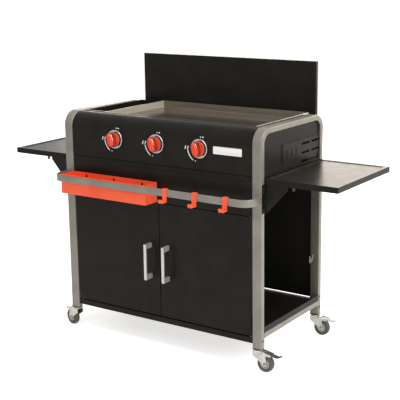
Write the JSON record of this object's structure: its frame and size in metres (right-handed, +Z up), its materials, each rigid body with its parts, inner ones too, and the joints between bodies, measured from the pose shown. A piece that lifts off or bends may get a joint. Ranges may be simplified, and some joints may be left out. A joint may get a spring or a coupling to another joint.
{
  "type": "flat top gas barbecue",
  "caption": "Flat top gas barbecue on a cabinet cart with side shelves, folding rear lid, hinged doors, front rail with tool tray and hooks, and swivel casters.",
  "frame": {"origin": "on the floor below the middle of the bounding box", "axes": "+X to the cook's right, +Y away from the cook, +Z up"},
  "size_m": [1.536, 0.6212, 1.124],
  "materials": {
    "frame_silver": "satin silver paint",
    "black_steel": "matt black paint",
    "steel": "satin",
    "brass": "satin",
    "ceramic": null,
    "chrome": "polished",
    "orange_plastic": "gloss",
    "orange_steel": "gloss paint",
    "black_plastic": "matt",
    "grey_plastic": "matt",
    "grey_rubber": "matt"
  },
  "bodies": {
    "cart": {"side_frame_left": "frame_silver", "side_frame_right": "frame_silver", "lower_side_rails": "frame_silver", "front_plinth": "black_steel", "rear_crossbar": "black_steel", "base_shelf": "black_steel", "back_panel": "black_steel", "front_apron": "black_steel", "front_crossbar": "black_steel", "control_panel": "black_steel", "vent_panel_left": "black_steel", "vent_panel_right": "black_steel", "firebox": "steel", "gas_burners": "steel", "gas_manifold": "steel", "gas_valves": "brass", "spark_igniters": "ceramic", "knob_bezels": "chrome", "lid_hinges": "black_steel", "side_shelf_left": "black_steel", "shelf_gussets_left": "black_steel", "side_shelf_right": "black_steel", "shelf_gussets_right": "black_steel", "frame_screws": "chrome", "door_catch": "black_plastic", "front_rail": "frame_silver", "leg_plugs": "black_plastic"},
    "lid_body": {"lid": "black_steel"},
    "left_door": {"door_left": "black_steel", "door_pins_left": "steel", "door_handle_left": "steel"},
    "right_door": {"door_right": "black_steel", "door_pins_right": "steel", "door_handle_right": "steel"},
    "stem_left": {"valve_stem_left": "steel"},
    "dial_left": {"knob_left": "orange_plastic"},
    "stem_middle": {"valve_stem_middle": "steel"},
    "dial_middle": {"knob_middle": "orange_plastic"},
    "stem_right": {"valve_stem_right": "steel"},
    "dial_right": {"knob_right": "orange_plastic"},
    "griddle": {"griddle_plate": "steel"},
    "grease_pan": {"grease_tray": "black_steel"},
    "tool_rack": {"tool_tray": "orange_steel"},
    "hook_1": {"tool_hook_1": "orange_steel"},
    "hook_2": {"tool_hook_2": "orange_steel"},
    "hook_3": {"tool_hook_3": "orange_steel"},
    "fork_front_left": {"caster_fork_front_left": "steel"},
    "wheel_front_left": {"wheel_hub_front_left": "grey_plastic", "tyre_front_left": "grey_rubber"},
    "fork_front_right": {"caster_fork_front_right": "steel"},
    "wheel_front_right": {"wheel_hub_front_right": "grey_plastic", "tyre_front_right": "grey_rubber"},
    "pedal_front_right": {"brake_pedal_front_right": "black_plastic"},
    "fork_rear_left": {"caster_fork_rear_left": "steel"},
    "wheel_rear_left": {"wheel_hub_rear_left": "grey_plastic", "tyre_rear_left": "grey_rubber"},
    "fork_rear_right": {"caster_fork_rear_right": "steel"},
    "wheel_rear_right": {"wheel_hub_rear_right": "grey_plastic", "tyre_rear_right": "grey_rubber"},
    "pedal_rear_right": {"brake_pedal_rear_right": "black_plastic"}
  },
  "joints": [
    {"name": "lid_fold", "type": "hinge", "parent": "cart", "child": "lid_body", "pos_m": [0, 0.27665, 0.909], "axis": [-1, 0, 0], "range_deg": [-90, 0]},
    {"name": "left_door_swing", "type": "hinge", "parent": "cart", "child": "left_door", "pos_m": [-0.416, -0.18135, 0.3625], "axis": [0, 0, -1], "range_deg": [0, 100]},
    {"name": "right_door_swing", "type": "hinge", "parent": "cart", "child": "right_door", "pos_m": [0.416, -0.18135, 0.3625], "axis": [0, 0, 1], "range_deg": [0, 100]},
    {"name": "knob_push_left", "type": "slide", "parent": "cart", "child": "stem_left", "axis": [0, 1, 0], "range_m": [0, 0.004], "stiffness_N_per_m": 400},
    {"name": "knob_turn_left", "type": "hinge", "parent": "stem_left", "child": "dial_left", "pos_m": [-0.202, -0.19855, 0.831], "axis": [0, -1, 0], "range_deg": [0, 180]},
    {"name": "knob_push_middle", "type": "slide", "parent": "cart", "child": "stem_middle", "axis": [0, 1, 0], "range_m": [0, 0.004], "stiffness_N_per_m": 400},
    {"name": "knob_turn_middle", "type": "hinge", "parent": "stem_middle", "child": "dial_middle", "pos_m": [0, -0.19855, 0.831], "axis": [0, -1, 0], "range_deg": [0, 180]},
    {"name": "knob_push_right", "type": "slide", "parent": "cart", "child": "stem_right", "axis": [0, 1, 0], "range_m": [0, 0.004], "stiffness_N_per_m": 400},
    {"name": "knob_turn_right", "type": "hinge", "parent": "stem_right", "child": "dial_right", "pos_m": [0.202, -0.19855, 0.831], "axis": [0, -1, 0], "range_deg": [0, 180]},
    {"name": "griddle_lift", "type": "slide", "parent": "cart", "child": "griddle", "axis": [0, 0, 1], "range_m": [0, 0.05]},
    {"name": "grease_tray_lift", "type": "slide", "parent": "cart", "child": "grease_pan", "axis": [0, 0, 1], "range_m": [0, 0.1]},
    {"name": "tool_tray_lift", "type": "slide", "parent": "cart", "child": "tool_rack", "axis": [0, 0, 1], "range_m": [0, 0.09]},
    {"name": "hook_slide_1", "type": "slide", "parent": "cart", "child": "hook_1", "axis": [1, 0, 0], "range_m": [-0.03, 0.03]},
    {"name": "hook_slide_2", "type": "slide", "parent": "cart", "child": "hook_2", "axis": [1, 0, 0], "range_m": [-0.03, 0.03]},
    {"name": "hook_slide_3", "type": "slide", "parent": "cart", "child": "hook_3", "axis": [1, 0, 0], "range_m": [-0.03, 0.03]},
    {"name": "caster_swivel_front_left", "type": "hinge", "parent": "cart", "child": "fork_front_left", "pos_m": [-0.45, -0.18335, 0.088], "axis": [0, 0, 1], "continuous": true},
    {"name": "wheel_spin_front_left", "type": "hinge", "parent": "fork_front_left", "child": "wheel_front_left", "pos_m": [-0.48228, -0.17649, 0.034], "axis": [-0.2079, -0.9781, 0], "continuous": true},
    {"name": "caster_swivel_front_right", "type": "hinge", "parent": "cart", "child": "fork_front_right", "pos_m": [0.45, -0.18335, 0.088], "axis": [0, 0, 1], "continuous": true},
    {"name": "wheel_spin_front_right", "type": "hinge", "parent": "fork_front_right", "child": "wheel_front_right", "pos_m": [0.48298, -0.1822, 0.034], "axis": [-0.0349, 0.9994, 0], "continuous": true},
    {"name": "brake_press_front_right", "type": "hinge", "parent": "fork_front_right", "child": "pedal_front_right", "pos_m": [0.46999, -0.18265, 0.0745], "axis": [-0.0349, 0.9994, 0], "range_deg": [0, 6]},
    {"name": "caster_swivel_rear_left", "type": "hinge", "parent": "cart", "child": "fork_rear_left", "pos_m": [-0.45, 0.27065, 0.088], "axis": [0, 0, 1], "continuous": true},
    {"name": "wheel_spin_rear_left", "type": "hinge", "parent": "fork_rear_left", "child": "wheel_rear_left", "pos_m": [-0.4175, 0.27638, 0.034], "axis": [-0.1736, 0.9848, 0], "continuous": true},
    {"name": "caster_swivel_rear_right", "type": "hinge", "parent": "cart", "child": "fork_rear_right", "pos_m": [0.45, 0.27065, 0.088], "axis": [0, 0, 1], "continuous": true},
    {"name": "wheel_spin_rear_right", "type": "hinge", "parent": "fork_rear_right", "child": "wheel_rear_right", "pos_m": [0.483, 0.27123, 0.034], "axis": [-0.0175, 0.9998, 0], "continuous": true},
    {"name": "brake_press_rear_right", "type": "hinge", "parent": "fork_rear_right", "child": "pedal_rear_right", "pos_m": [0.47, 0.271, 0.0745], "axis": [-0.0175, 0.9998, 0], "range_deg": [0, 6]}
  ]
}
